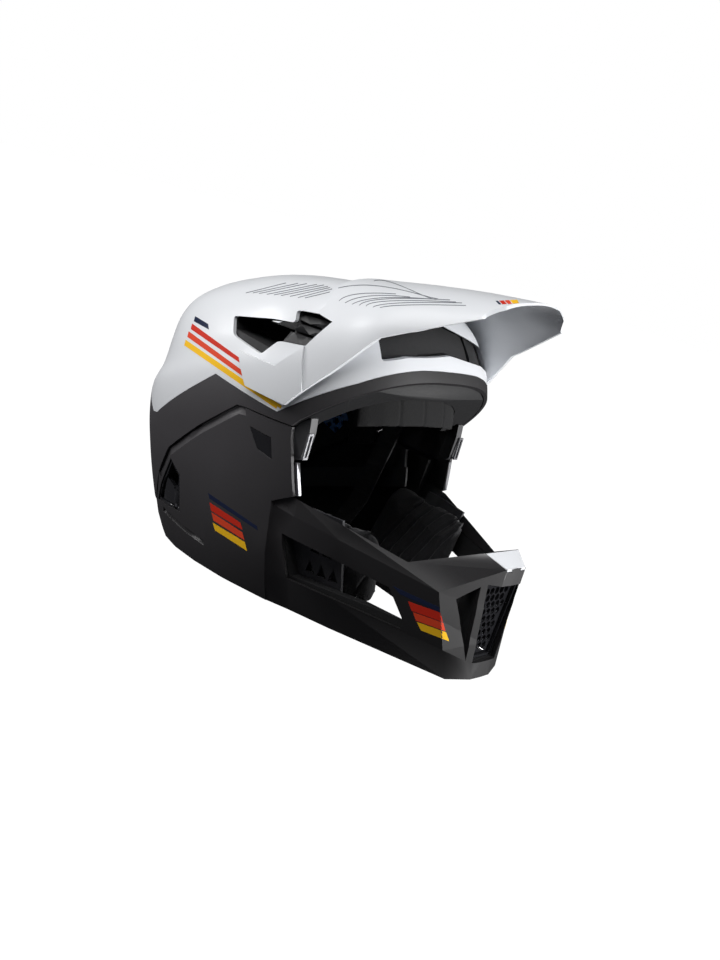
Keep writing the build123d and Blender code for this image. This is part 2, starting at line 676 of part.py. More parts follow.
save("cheek_carrier_right", mirrored(carrier))

# Latches: a pan in the recess, with two lugs, and a lever that hinges on an upright pin
pan_zone = side_prism(drawn(latch_shares), fit_gap)
pan_room = side_prism(drawn(latch_shares), fit_gap + pan_wall)
pans = layer(1, pan_inset + pan_wall, pan_zone) - layer(-1, pan_inset, pan_room)
lever_zone = side_prism(drawn(lever_shares))
levers = layer(lever_inset, lever_inset + lever_wall, lever_zone)
pin_middle = (latch_low + latch_high) / 2
pin_drop = dome(lever_inset + lever_wall / 2)
pin_line = pin_drop & block(-width, width, latch_forward, latch_forward + fit_gap,
                            pin_middle, pin_middle + fit_gap)
pin_side = pin_line.bounding_box().max.X - lever_wall / 8
pin_height = latch_high - latch_low


def upright(side, radius, low, high):
    return Pos(side * pin_side, -latch_forward, low) * Cylinder(
        radius, high - low, align=(Align.CENTER, Align.CENTER, Align.MIN))


boss_low, boss_high = latch_low + latch_lug_height + fit_gap, latch_high - latch_lug_height - fit_gap
pins = []
for side, name in ((-1, "right"), (1, "left")):
    half_space = block(min(0, side * width), max(0, side * width), -width, width, 0, rise)
    lug_rear = latch_forward - latch_boss_radius - latch_swing_room
    lever = (levers & half_space) - block(-width, width, lug_rear, dome_front, boss_high, rise)
    lever -= block(-width, width, lug_rear, dome_front, 0, boss_low)
    lever += Pos(side * pin_side, -latch_forward, boss_low) * extrude(
        RegularPolygon(latch_boss_radius, boss_sides), amount=boss_high - boss_low)
    lever -= upright(side, latch_pin_radius + running_gap, 0, rise)
    pan = pans & half_space
    lug_in, lug_out = pin_side - pan_inset + lever_inset, pin_side + latch_boss_radius
    for low, high in ((latch_low, latch_low + latch_lug_height),
                      (latch_high - latch_lug_height, latch_high)):
        lug = block(min(side * lug_in, side * lug_out), max(side * lug_in, side * lug_out),
                    latch_forward - latch_boss_radius, latch_forward + latch_boss_radius,
                    low, high)
        pan += (lug & dome(1)) - dome(pan_inset + pan_wall)
    pan -= upright(side, latch_pin_radius, 0, rise)
    save(f"latch_pan_{name}", pan)
    save(f"latch_lever_{name}", lever)
    pins.append(upright(side, latch_pin_radius, latch_low, latch_high))
save("latch_pins", *pins)
print("pin side", pin_side)

# Visor: over the crown it follows the shell, and ahead of it a peak runs out over the port.
# The peak's arches: forward and height shares, half width, base and crown, and how boxy.
peak_arch_shares = [
    (0.212, 1.004, 0.20, 0.944, 3.0), (0.330, 0.947, 0.21, 0.909, 3.0),
    (0.448, 0.855, 0.351, 0.877, 2.7), (0.580, 0.772, 0.491, 0.841, 2.4),
    (0.731, 0.627, 0.526, 0.793, 2.2), (0.887, 0.478, 0.561, 0.733, 2.1),
    (1.009, 0.351, 0.590, 0.681, 2.0),
]
arch_steps = 18


def peak(inset):
    """The peak's solid form in the worn frame, drawn in by an inset and open below."""
    rings = []
    for ahead, half, base, crown, power in peak_arch_shares:
        wide, low = half * dome_half_width - inset, base * dome_height - inset
        high = crown * dome_height - inset
        rings.append([(wide * signed_power(cos(pi * step / arch_steps), 2 / power),
                       -ahead * visor_reach,
                       low + (high - low) * signed_power(sin(pi * step / arch_steps), 2 / power))
                      for step in range(arch_steps + 1)])
    if inset:
        for row, way in ((0, -1), (-1, 1)):
            rings[row] = [(x, y - way * inset, z) for x, y, z in rings[row]]
    return stand * facets(rings)


visor_zone = side_prism(drawn(visor_side_shares))
visor_front_shares = [(-2, -1), (-2, 0.70), (-0.454, 0.862), (-0.35, 0.905), (-0.16, 0.944),
                      (0, 0.953), (0.16, 0.944), (0.35, 0.905), (0.454, 0.862), (2, 0.70), (2, -1)]
visor_plan = stand * extrude(Plane.XY * outline_face(
    [(a * dome_half_width, -b * visor_reach) for a, b in visor_front_shares]), amount=rise)
visor_back = layer(-visor_gap - visor_wall, -visor_gap, visor_zone & stand * block(
    -width, width, -dome_rear, visor_join + visor_join_overlap, 0, rise))
visor_front = peak(0) - peak(visor_wall)
visor_front = (visor_front - dome(-visor_gap)) & visor_zone & visor_plan
visor_front &= stand * block(-width, width, visor_join, visor_reach + overrun, 0, rise)
visor = visor_back + visor_front
visor -= [socket_bore, mirrored(socket_bore)]
print("visor solids", [round(solid.volume) for solid in visor.solids()])
save("visor", visor)

# Ridged rails in the side vents, where the visor's arm slides over the shell
rail_near, rail_far, rail_ridges = 3.0, 13.0, 3
rail_zone = side_prism(drawn(visor_rail_shares)) & side_prism(drawn(side_vent_shares), fit_gap)
visor_rails = layer(rail_near, rail_far, rail_zone)
ridge_depth, ridge_width = 3.0, 2.0
rail_low_share, rail_high_share = 0.80, 0.885
for ridge in range(rail_ridges):
    share = rail_low_share + (ridge + 0.5) * (rail_high_share - rail_low_share) / rail_ridges
    visor_rails -= layer(rail_near - 1, rail_near + ridge_depth, block(
        -width, width, -span, span, share * rise, share * rise + ridge_width))
save("visor_rail_right", visor_rails.solids().sort_by(Axis.X)[0])
save("visor_rail_left", visor_rails.solids().sort_by(Axis.X)[-1])

# Chin straps hang inside the cheeks and meet at the buckle
strap_route_shares = [(0.759, 0.590), (0.672, 0.445), (0.540, 0.243), (0.263, 0.081),
                      (0.115, 0.0545)]
strap_points = drawn(strap_route_shares, dome_half_width, rise)
strap_lean_shares = (1, 0.85, 0.55, 0.2, 0.1)
strap_side = strap_points + [
    (x - strap_wall * (1 - lean), z + strap_wall * lean) for (x, z), lean in
    zip(strap_points[::-1], strap_lean_shares)]
strap = front_prism(strap_side, strap_middle - strap_width / 2, strap_middle + strap_width / 2)
save("strap_left", strap)
save("strap_right", mirrored(strap))
plate_low, plate_high = 0.565 * rise, 0.60 * rise
anchor_plates = []
for side in (-1, 1):
    near_side = side * (strap_points[0][0] + fit_gap)
    far_side = side * (strap_points[0][0] + 2 * strap_wall + foam_inset / 4)
    anchor_plates.append(block(
        min(near_side, far_side), max(near_side, far_side), strap_middle - strap_width / 2,
        strap_middle + strap_width / 2, plate_low, plate_high) & dome(foam_inset + fit_gap))
save("strap_anchors", *anchor_plates)

# Buckle: a socket on the left strap and a tongue on the right one, which slides out ahead
buckle_low = strap_points[-1][1] - strap_wall / 2 - buckle_wall / 2
half_gap = fit_gap / 2
channel_low = buckle_low + (buckle_wall - tongue_wall) / 2
socket = block(half_gap, buckle_half_length - 2, strap_middle - buckle_width / 2,
               strap_middle + buckle_width / 2, buckle_low, buckle_low + buckle_wall)
socket -= block(0, tongue_reach + fit_gap, strap_middle - buckle_width, strap_middle + buckle_width,
                channel_low - fit_gap, channel_low + tongue_wall + fit_gap)
tongue = block(-buckle_half_length + 2, -half_gap, strap_middle - buckle_width / 2,
               strap_middle + buckle_width / 2, buckle_low, buckle_low + buckle_wall)
tongue += block(-half_gap, tongue_reach, strap_middle - buckle_width / 2,
                strap_middle + buckle_width / 2, channel_low, channel_low + tongue_wall)
save("buckle_socket", socket)
save("buckle_tongue", tongue)

# The frame's origin is on the floor under the middle of the whole helmet
boxes = [solid.bounding_box() for solids in nodes.values() for solid in solids]
middle_shift = -(min(box.min.Y for box in boxes) + max(box.max.Y for box in boxes)) / 2
for name, solids in nodes.items():
    placed = [Pos(0, middle_shift, 0) * solid for solid in solids]
    export_step(placed[0] if len(placed) == 1 else Compound(children=placed),
                f"parts/{name}.step")
    print(name, len(placed))
print("middle shift", middle_shift)
print("sides", min(box.min.X for box in boxes), max(box.max.X for box in boxes))
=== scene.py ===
import bmesh
import bpy
from math import acos, atan2, cos, exp, pi, radians, sin
from mathutils import Matrix, Vector
from mathutils.bvhtree import BVHTree


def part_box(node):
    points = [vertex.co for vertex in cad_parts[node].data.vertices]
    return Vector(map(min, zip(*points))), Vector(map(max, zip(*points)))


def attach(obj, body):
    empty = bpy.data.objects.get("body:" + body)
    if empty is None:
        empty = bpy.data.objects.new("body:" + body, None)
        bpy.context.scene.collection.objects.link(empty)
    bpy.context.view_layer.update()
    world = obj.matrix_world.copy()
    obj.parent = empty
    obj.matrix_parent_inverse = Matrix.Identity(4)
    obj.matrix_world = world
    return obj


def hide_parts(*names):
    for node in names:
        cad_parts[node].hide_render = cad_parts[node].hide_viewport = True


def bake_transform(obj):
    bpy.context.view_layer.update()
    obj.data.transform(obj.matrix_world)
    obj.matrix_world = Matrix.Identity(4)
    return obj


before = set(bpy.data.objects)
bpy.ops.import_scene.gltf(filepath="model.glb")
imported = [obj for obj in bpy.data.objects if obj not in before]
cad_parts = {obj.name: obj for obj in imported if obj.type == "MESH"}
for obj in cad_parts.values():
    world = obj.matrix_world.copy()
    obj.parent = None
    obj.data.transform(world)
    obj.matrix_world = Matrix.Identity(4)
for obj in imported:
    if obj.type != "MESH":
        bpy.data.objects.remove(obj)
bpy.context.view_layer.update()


# Camera: a long way back and a little above, at the front right of the helmet, and rolled,
# because the picture was taken that way.
MM = 0.001
eye_place = Vector((-693.3, -532.0, 303.8)) * MM
eye_right = Vector((0.62381, -0.73241, 0.27282))
eye_up = Vector((0.01458, 0.35991, 0.93287))
eye_back = eye_right.cross(eye_up)
camera = bpy.data.objects.new("camera", bpy.data.cameras.new("camera"))
bpy.context.scene.collection.objects.link(camera)
camera.matrix_world = Matrix((
    (eye_right.x, eye_up.x, eye_back.x, eye_place.x),
    (eye_right.y, eye_up.y, eye_back.y, eye_place.y),
    (eye_right.z, eye_up.z, eye_back.z, eye_place.z),
    (0, 0, 0, 1)))
picture_wide, picture_high = 720, 960
camera.data.lens = 42.0
camera.data.sensor_width = 36.0
camera.data.clip_start = 0.01
bpy.context.scene.camera = camera
bpy.context.scene.view_settings.view_transform = "Standard"


# Studio: a white floor and white surroundings, lit by four soft boxes. The white is seen by
# the camera alone, so the lamps give the white shell its shading; the black one takes its depth
# from the lamps and from shade painted into its colour.
ambient_strength = 0.06
world = bpy.data.worlds.new("studio")
bpy.context.scene.world = world
world.use_nodes = True
sky = world.node_tree.nodes
sky_links = world.node_tree.links
surround = sky["Background"]
surround.inputs["Color"].default_value = (0.96, 0.98, 1.0, 1)
surround.inputs["Strength"].default_value = ambient_strength
bright = sky.new("ShaderNodeBackground")
bright.inputs["Color"].default_value = (1, 1, 1, 1)
bright.inputs["Strength"].default_value = 1.0
seen = sky.new("ShaderNodeLightPath")
sky_mix = sky.new("ShaderNodeMixShader")
sky_links.new(seen.outputs["Is Camera Ray"], sky_mix.inputs["Fac"])
sky_links.new(surround.outputs["Background"], sky_mix.inputs[1])
sky_links.new(bright.outputs["Background"], sky_mix.inputs[2])
sky_links.new(sky_mix.outputs["Shader"], sky["World Output"].inputs["Surface"])

lit_point = Vector((0, 0, 0.12))
for name, place, size, watts in (
        ("key_box", (-1.1, 0.0, 1.9), 1.6, 34.0),
        ("front_box", (0.7, -2.1, 1.6), 1.0, 9.0),
        ("rear_box", (-1.6, 1.9, 1.2), 1.2, 42.0),
        ("low_box", (0.75, -1.6, 0.05), 0.5, 70.0)):
    lamp = bpy.data.lights.new(name, "AREA")
    lamp.shape = "SQUARE"
    lamp.size = size
    lamp.energy = watts
    box = bpy.data.objects.new(name, lamp)
    box.location = place
    box.rotation_euler = (lit_point - Vector(place)).to_track_quat("-Z", "Y").to_euler()
    bpy.context.scene.collection.objects.link(box)


def mesh_object(name, bm):
    """Turns a finished bmesh into a piece of the scene."""
    mesh = bpy.data.meshes.new(name)
    bm.to_mesh(mesh)
    bm.free()
    piece = bpy.data.objects.new(name, mesh)
    bpy.context.scene.collection.objects.link(piece)
    return piece


def painted(piece, material):
    """Gives a piece one material and no other."""
    piece.data.materials.clear()
    piece.data.materials.append(material)
    return piece


floor_reach = 6
floor_glow = 1.08
floor_glow_share = 0.94
bm = bmesh.new()
bmesh.ops.create_grid(bm, x_segments=1, y_segments=1, size=floor_reach)
floor = mesh_object("floor", bm)
floor_paint = bpy.data.materials.new("floor_white")
floor_paint.use_nodes = True
n, links = floor_paint.node_tree.nodes, floor_paint.node_tree.links
pale = n["Principled BSDF"]
pale.inputs["Base Color"].default_value = (0.9, 0.9, 0.9, 1)
pale.inputs["Roughness"].default_value = 0.9
glow = n.new("ShaderNodeEmission")
glow.inputs["Strength"].default_value = floor_glow
dim = n.new("ShaderNodeBsdfDiffuse")
dim.inputs["Color"].default_value = (0.05, 0.05, 0.055, 1)
path = n.new("ShaderNodeLightPath")
seen_mix = n.new("ShaderNodeMixShader")
seen_mix.inputs["Fac"].default_value = floor_glow_share
mix = n.new("ShaderNodeMixShader")
links.new(pale.outputs["BSDF"], seen_mix.inputs[1])
links.new(glow.outputs["Emission"], seen_mix.inputs[2])
links.new(path.outputs["Is Camera Ray"], mix.inputs["Fac"])
links.new(dim.outputs["BSDF"], mix.inputs[1])
links.new(seen_mix.outputs["Shader"], mix.inputs[2])
links.new(mix.outputs["Shader"], n["Material Output"].inputs["Surface"])
painted(floor, floor_paint)


# Upper shell: a thin white plastic skin over the crown, formed in one piece round large vents
# and bonded to the foam. Its level sections, from the lowest up, are shares of the dome's
# sizes: level, half width, rear reach, front reach and how far the middle is moved.
dome_half_width, dome_rear, dome_front = 114.0, 155.0, 123.0
dome_height, dome_depth, oval_power = 142.5, 125.0, 2.6
shell_wall = 2.6
grille_face = 185.0
eye_height, stand_tilt = 104.9, 20.7
middle_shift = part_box("mouth_grille")[0].y / MM + grille_face
dome_sections = (
    (-1.00, 0.614, 0.813, 0.780, 0.0), (-0.80, 0.730, 0.890, 0.820, 0.0),
    (-0.60, 0.816, 0.955, 0.860, 0.0), (-0.40, 0.865, 1.000, 0.900, 0.0),
    (-0.16, 0.925, 1.006, 0.940, 0.0), (0.08, 0.972, 0.995, 0.970, 0.0),
    (0.25, 0.998, 0.975, 0.990, 0.0), (0.40, 0.998, 0.935, 0.990, 0.0),
    (0.51, 0.974, 0.845, 0.965, 0.0), (0.64, 0.930, 0.800, 0.910, 0.0),
    (0.76, 0.855, 0.780, 0.800, 0.0), (0.86, 0.740, 0.735, 0.620, -0.02),
    (0.93, 0.575, 0.635, 0.310, -0.10), (0.975, 0.370, 0.505, 0.050, -0.22),
    (0.995, 0.160, 0.365, -0.200, -0.26), (1.0, 0.0, 0.26, -0.328, -0.26))
floor_frame = Matrix.Translation((0, middle_shift * MM, 0)) @ Matrix.Scale(MM, 4)
worn_frame = (floor_frame @ Matrix.Translation((0, 0, eye_height))
              @ Matrix.Rotation(radians(-stand_tilt), 4, "X"))
span, rise = 139.0, 247.4


def power(value, exponent):
    """A power that keeps the sign of its base."""
    return abs(value) ** exponent * (1 if value >= 0 else -1)


def flowing(rows, place):
    """A row of values read smoothly between the rows of a table."""
    place = min(max(place, 0), len(rows) - 1)
    i = min(int(place), len(rows) - 2)
    t = place - i
    a, b, c, d = (rows[min(max(k, 0), len(rows) - 1)] for k in (i - 1, i, i + 1, i + 2))
    return [q + t / 2 * (r - p + t * (2 * p - 5 * q + 4 * r - s + t * (3 * (q - r) + s - p)))
            for p, q, r, s in zip(a, b, c, d)]


def dome(name, inset, around=160, rows=110):
    """The helmet's closed outer form, drawn in by an inset."""
    bm = bmesh.new()
    bmesh.ops.create_uvsphere(bm, u_segments=around, v_segments=rows, radius=1)
    wide, back, ahead = dome_half_width - inset, dome_rear - inset, dome_front - inset
    for vert in bm.verts:
        row = acos(max(-1, min(1, vert.co.z))) / pi * rows
        angle = atan2(vert.co.y, vert.co.x)
        if row > rows - 0.5:
            vert.co = (0, 0, -dome_depth)
            continue
        at = (len(dome_sections) - 1) * (1 - row / (rows - 1))
        level, w, b, a, m = flowing(dome_sections, at)
        height = level * (dome_height - inset) if level > 0 else level * dome_depth
        middle = m * back
        reach = a * ahead - middle if sin(angle) > 0 else b * back + middle
        vert.co = (w * wide * power(cos(angle), 2 / oval_power),
                   -middle - reach * power(sin(angle), 2 / oval_power), height)
    bmesh.ops.transform(bm, matrix=worn_frame, verts=bm.verts)
    bmesh.ops.recalc_face_normals(bm, faces=bm.faces)
    return mesh_object(name, bm)


def prism(name, points, along, near, far, rounding=0, frame_used=None):
    """A closed prism from an outline. along says which way it runs: side, front or plan."""
    bm = bmesh.new()
    face = bm.faces.new([bm.verts.new((a, b, 0)) for a, b in points])
    if rounding:
        bmesh.ops.bevel(bm, geom=list(bm.verts), offset=rounding, offset_type="OFFSET",
                        affect="VERTICES", segments=5, profile=0.5, material=-1,
                        clamp_overlap=True)
    ring = bmesh.ops.extrude_face_region(bm, geom=list(bm.faces))
    bmesh.ops.translate(bm, verts=[v for v in ring["geom"] if isinstance(v, bmesh.types.BMVert)],
                        vec=(0, 0, far - near))
    bmesh.ops.translate(bm, verts=bm.verts, vec=(0, 0, near))
    turn = {"side": Matrix(((0, 0, 1, 0), (-1, 0, 0, 0), (0, 1, 0, 0), (0, 0, 0, 1))),
            "front": Matrix(((1, 0, 0, 0), (0, 0, -1, 0), (0, 1, 0, 0), (0, 0, 0, 1))),
            "plan": Matrix(((1, 0, 0, 0), (0, -1, 0, 0), (0, 0, 1, 0), (0, 0, 0, 1)))}[along]
    bmesh.ops.transform(bm, matrix=(frame_used or floor_frame) @ turn, verts=bm.verts)
    bmesh.ops.recalc_face_normals(bm, faces=bm.faces)
    bmesh.ops.triangulate(bm, faces=bm.faces)
    return mesh_object(name, bm)


def shares(points, a=span, b=rise):
    """An outline in millimetres from its shares of a length and a height."""
    return [(x * a, y * b) for x, y in points]


def carve(piece, *steps):
    """Cuts, joins or crosses a piece with others, one after the other."""
    for way, tool in steps:
        modifier = piece.modifiers.new(way, "BOOLEAN")
        modifier.operation = way
        modifier.object = tool
        modifier.solver = "MANIFOLD"
    bpy.context.view_layer.update()
    shaped = bpy.data.meshes.new_from_object(piece.evaluated_get(
        bpy.context.evaluated_depsgraph_get()))
    piece.modifiers.clear()
    piece.data = shaped
    return piece


def copied(piece, name):
    """A twin of a piece, with a mesh of its own."""
    twin = bpy.data.objects.new(name, piece.data.copy())
    bpy.context.scene.collection.objects.link(twin)
    return twin


merge_reach = 0.00002


def smoothed(piece, angle=30):
    """Smooth shading, with edges kept where the faces turn by more than the angle."""
    bm = bmesh.new()
    bm.from_mesh(piece.data)
    bmesh.ops.remove_doubles(bm, verts=bm.verts, dist=merge_reach)
    bmesh.ops.dissolve_degenerate(bm, edges=bm.edges, dist=merge_reach)
    bm.to_mesh(piece.data)
    bm.free()
    piece.data.shade_smooth()
    piece.data.set_sharp_from_angle(angle=radians(angle))
    return piece


def gone(*pieces):
    """Takes away forms that only served to cut others."""
    for piece in pieces:
        bpy.data.objects.remove(piece)


coat_roughness = 0.12
gloss_spread = 0.05
cloud_scale, cloud_detail, grain_detail = 22.0, 4.0, 2.0
grain_height = 0.0004


def finish_of(name, colour, roughness, speck=0.04, grain=900.0, bump=0.02, coat=0.0, metal=0.0,
              sheen=0.0):
    """A moulded or woven finish: colour and gloss that vary a little, over a fine grain."""
    material = bpy.data.materials.new(name)
    material.use_nodes = True
    n, links = material.node_tree.nodes, material.node_tree.links
    skin = n["Principled BSDF"]
    skin.inputs["Metallic"].default_value = metal
    skin.inputs["Coat Weight"].default_value = coat
    skin.inputs["Coat Roughness"].default_value = coat_roughness
    skin.inputs["Sheen Weight"].default_value = sheen
    place = n.new("ShaderNodeTexCoord")
    cloud = n.new("ShaderNodeTexNoise")
    cloud.inputs["Scale"].default_value = cloud_scale
    cloud.inputs["Detail"].default_value = cloud_detail
    fine = n.new("ShaderNodeTexNoise")
    fine.inputs["Scale"].default_value = grain
    fine.inputs["Detail"].default_value = grain_detail
    for texture in (cloud, fine):
        links.new(place.outputs["Object"], texture.inputs["Vector"])
    tint = n.new("ShaderNodeMix")
    tint.data_type = "RGBA"
    tint.inputs["A"].default_value = (*[c * (1 - speck) for c in colour], 1)
    tint.inputs["B"].default_value = (*[min(1, c * (1 + speck)) for c in colour], 1)
    links.new(cloud.outputs["Fac"], tint.inputs["Factor"])
    links.new(tint.outputs["Result"], skin.inputs["Base Color"])
    gloss = n.new("ShaderNodeMapRange")
    gloss.inputs["To Min"].default_value = max(0.02, roughness - gloss_spread)
    gloss.inputs["To Max"].default_value = min(1, roughness + gloss_spread)
    links.new(fine.outputs["Fac"], gloss.inputs["Value"])
    links.new(gloss.outputs["Result"], skin.inputs["Roughness"])
    rough = n.new("ShaderNodeBump")
    rough.inputs["Strength"].default_value = bump
    rough.inputs["Distance"].default_value = grain_height
    links.new(fine.outputs["Fac"], rough.inputs["Height"])
    links.new(rough.outputs["Normal"], skin.inputs["Normal"])
    return material


white_edge = shares([
    (-1.35, 0.53), (-0.92, 0.455), (-0.76, 0.405), (-0.70, 0.412), (-0.225, 0.622),
    (0.235, 0.592), (0.54, 0.738), (0.66, 0.81), (1.10, 0.98)])
side_vent = shares([
    (-0.209, 0.746), (0.033, 0.728), (0.101, 0.781), (0.26, 0.793), (0.325, 0.868),
    (0.30, 0.893), (0.10, 0.877), (0.136, 0.843), (0.0, 0.832), (-0.280, 0.796)])
front_vent = shares([
    (-0.585, 0.88), (-0.60, 0.811), (-0.42, 0.836), (0.0, 0.858), (0.42, 0.836), (0.60, 0.811),
    (0.585, 0.88), (0.0, 0.935)], dome_half_width)
rear_vent = shares([(0.10, 0.83), (0.52, 0.80), (0.46, 0.72), (0.12, 0.74)], dome_half_width)
wide_reach = 230.0
sky_share = 1.4
vent_rounding, rear_rounding = 2.5, 2
sky_edge = shares([(1.1, sky_share), (-1.35, sky_share)])
white_zone = prism("white_zone", white_edge + sky_edge, "side", -wide_reach, wide_reach)
side_cut = prism("side_cut", side_vent, "side", -wide_reach, wide_reach, rounding=vent_rounding)
front_cut = prism("front_cut", front_vent, "front", 0, wide_reach, rounding=vent_rounding)
rear_cuts = [prism("rear_cut", [(side * a, b) for a, b in rear_vent], "front", -wide_reach,
                   -dome_rear / 2, rounding=rear_rounding) for side in (-1, 1)]
slot_half, slot_rear, slot_front, slot_low = 8.55, -23.6, 10.4, 176.2
slot_points = [(-slot_half, slot_rear), (slot_half, slot_rear), (slot_half, slot_front),
               (-slot_half, slot_front)]
slot_cut = prism("slot_cut", slot_points, "plan", slot_low, wide_reach * sky_share,
                 rounding=vent_rounding)
outer_form = dome("outer_form", 0)
shell_inner = dome("shell_inner", shell_wall)
vents = [("DIFFERENCE", side_cut), ("DIFFERENCE", front_cut), ("DIFFERENCE", slot_cut),
         ("DIFFERENCE", rear_cuts[0]), ("DIFFERENCE", rear_cuts[1])]
upper_shell = carve(copied(outer_form, "white_upper_shell"), ("INTERSECT", white_zone), *vents,
                    ("DIFFERENCE", shell_inner))
white_paint = finish_of("satin_white", (0.72, 0.735, 0.76), 0.36, speck=0.01, bump=0.01, coat=0.1)
smoothed(upper_shell)
painted(upper_shell, white_paint)
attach(upper_shell, "helmet")
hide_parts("upper_shell")


# Lower shell: a black plastic skin round the brow, the temples and the nape, bonded to the
# same foam just below the white one. Its matt colour is painted darker downwards and to the
# front: painted shade where less lamp light falls.
chin_seam = shares([
    (-0.71, 0.108), (-0.63, 0.228), (-0.525, 0.328), (-0.26, 0.457),
    (-0.02, 0.564), (0.03, 0.568), (0.33, 0.568)])
brow_edge = shares([(0.35, 0.585), (0.60, 0.727), (0.70, 0.785), (1.15, 0.955)])
nape_share, rim_share, shell_gap = -1.5, 0.108, 0.35
base_zone = prism("base_zone", shares([(nape_share, rim_share)]) + chin_seam + brow_edge
                  + shares([(1.15, sky_share), (nape_share, sky_share)]),
                  "side", -wide_reach, wide_reach)
white_below = copied(white_zone, "white_below")
white_below.data.transform(Matrix.Translation((0, 0, -shell_gap * MM)))
lower_shell = carve(copied(outer_form, "black_lower_shell"), ("INTERSECT", base_zone),
                    ("DIFFERENCE", white_below), ("DIFFERENCE", shell_inner))
black_with_painted_shade = finish_of("satin_black_painted_shade", (0.047, 0.044, 0.048), 0.55, speck=0.08, bump=0.03)
n, links = black_with_painted_shade.node_tree.nodes, black_with_painted_shade.node_tree.links
split = n.new("ShaderNodeSeparateXYZ")
links.new(n["Texture Coordinate"].outputs["Object"], split.inputs["Vector"])
shaded = n.new("ShaderNodeVectorMath")
shaded.operation = "SCALE"
painted_shade_fades = []
# Painted shade: the base colour is scaled down towards the front (Y) and towards the bottom (Z),
# standing in for the light that falls off there.
painted_shade_grading = (("Y", -0.07, 0.03, 0.34), ("Z", 0.02, 0.095, 0.5))
for axis, start, end, least in painted_shade_grading:
    painted_shade_fade = n.new("ShaderNodeMapRange")
    painted_shade_fade.inputs["From Min"].default_value = start
    painted_shade_fade.inputs["From Max"].default_value = end
    painted_shade_fade.inputs["To Min"].default_value = least
    links.new(split.outputs[axis], painted_shade_fade.inputs["Value"])
    painted_shade_fades.append(painted_shade_fade)
both = n.new("ShaderNodeMath")
both.operation = "MULTIPLY"
links.new(painted_shade_fades[0].outputs["Result"], both.inputs[0])
links.new(painted_shade_fades[1].outputs["Result"], both.inputs[1])
links.new(n["Mix"].outputs["Result"], shaded.inputs["Vector"])
links.new(both.outputs["Value"], shaded.inputs["Scale"])
links.new(shaded.outputs["Vector"], n["Principled BSDF"].inputs["Base Color"])
smoothed(lower_shell)
painted(lower_shell, black_with_painted_shade)
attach(lower_shell, "helmet")
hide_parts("lower_shell")


# Visor: a white moulding that follows the shell over the crown and runs out as an arched
# peak. It turns on two studs and slides over ridged rails in the side vents.
visor_wall, visor_gap, visor_reach, visor_join = 2.8, 2.6, 212.0, 68.0
peak_arches = (
    (0.212, 1.004, 0.20, 0.944, 3.0), (0.330, 0.947, 0.21, 0.909, 3.0),
    (0.448, 0.855, 0.351, 0.877, 2.7), (0.580, 0.772, 0.491, 0.841, 2.4),
    (0.731, 0.627, 0.526, 0.793, 2.2), (0.887, 0.478, 0.561, 0.733, 2.1),
    (1.009, 0.351, 0.590, 0.681, 2.0))


def peak(name, inset, around=128, rows=60):
    """The peak's closed form: arches one ahead of the other, drawn in by an inset."""
    bm = bmesh.new()
    bmesh.ops.create_uvsphere(bm, u_segments=around, v_segments=rows, radius=1)
    last = len(peak_arches) - 1
    for vert in bm.verts:
        row = acos(max(-1, min(1, vert.co.z))) / pi * rows
        angle = atan2(vert.co.y, vert.co.x)
        at = min(max((row - 1) / (rows - 2), 0), 1)
        ahead, half, base, crown, boxy = flowing(peak_arches, last * at)
        wide, low = half * dome_half_width - inset, base * dome_height - inset
        high = crown * dome_height - inset
        ahead = ahead * visor_reach + 2 * inset * (2 * at - 1)
        if row < 0.5 or row > rows - 0.5:
            vert.co = (0, -ahead, (low + high) / 2)
        elif sin(angle) >= 0:
            vert.co = (wide * power(cos(angle), 2 / boxy), -ahead,
                       low + (high - low) * power(sin(angle), 2 / boxy))
        else:
            vert.co = (wide * cos(angle), -ahead, low + inset * sin(angle))
    bmesh.ops.transform(bm, matrix=worn_frame, verts=bm.verts)
    bmesh.ops.recalc_face_normals(bm, faces=bm.faces)
    return mesh_object(name, bm)


visor_side = shares([
    (0.13, 1.4), (0.173, 0.995), (0.184, 0.969), (0.233, 0.935), (0.244, 0.914),
    (0.235, 0.893), (0.259, 0.888), (0.341, 0.881), (0.275, 0.792), (0.177, 0.717),
    (-0.086, 0.717), (0.035, 0.632), (0.29, 0.622), (0.618, 0.882),
    (1.042, 1.025), (1.45, 1.07), (1.45, 1.4)])
visor_front = shares([
    (-2, -1), (-2, 0.70), (-0.454, 0.862), (-0.35, 0.905), (-0.16, 0.944),
    (0, 0.953), (0.16, 0.944), (0.35, 0.905), (0.454, 0.862), (2, 0.70), (2, -1)],
    dome_half_width, visor_reach)
visor_zone = prism("visor_zone", visor_side, "side", -wide_reach, wide_reach)
plan_low, plan_half, plan_ahead, join_overlap = -50, 200, 300, 0.5
join_end = visor_join + join_overlap
visor_plan = prism("visor_plan", visor_front, "plan", plan_low, wide_reach, frame_used=worn_frame)
behind_join = prism(
    "behind_join", [(-plan_half, -plan_half), (plan_half, -plan_half), (plan_half, join_end),
                    (-plan_half, join_end)], "plan", plan_low, wide_reach, frame_used=worn_frame)
ahead_join = prism(
    "ahead_join", [(-plan_half, visor_join), (plan_half, visor_join), (plan_half, plan_ahead),
                   (-plan_half, plan_ahead)], "plan", plan_low, wide_reach, frame_used=worn_frame)
visor_inner = dome("visor_inner", -visor_gap)
visor_back = carve(dome("visor_back", -visor_gap - visor_wall), ("INTERSECT", visor_zone),
                   ("INTERSECT", behind_join), ("DIFFERENCE", visor_inner))
visor = peak("white_visor", 0)
peak_inner = peak("peak_inner", visor_wall)
carve(visor, ("DIFFERENCE", peak_inner), ("INTERSECT", visor_zone), ("INTERSECT", visor_plan),
      ("INTERSECT", ahead_join), ("DIFFERENCE", visor_inner), ("UNION", visor_back))
smoothed(visor)
painted(visor, white_paint)
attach(visor, "visor")
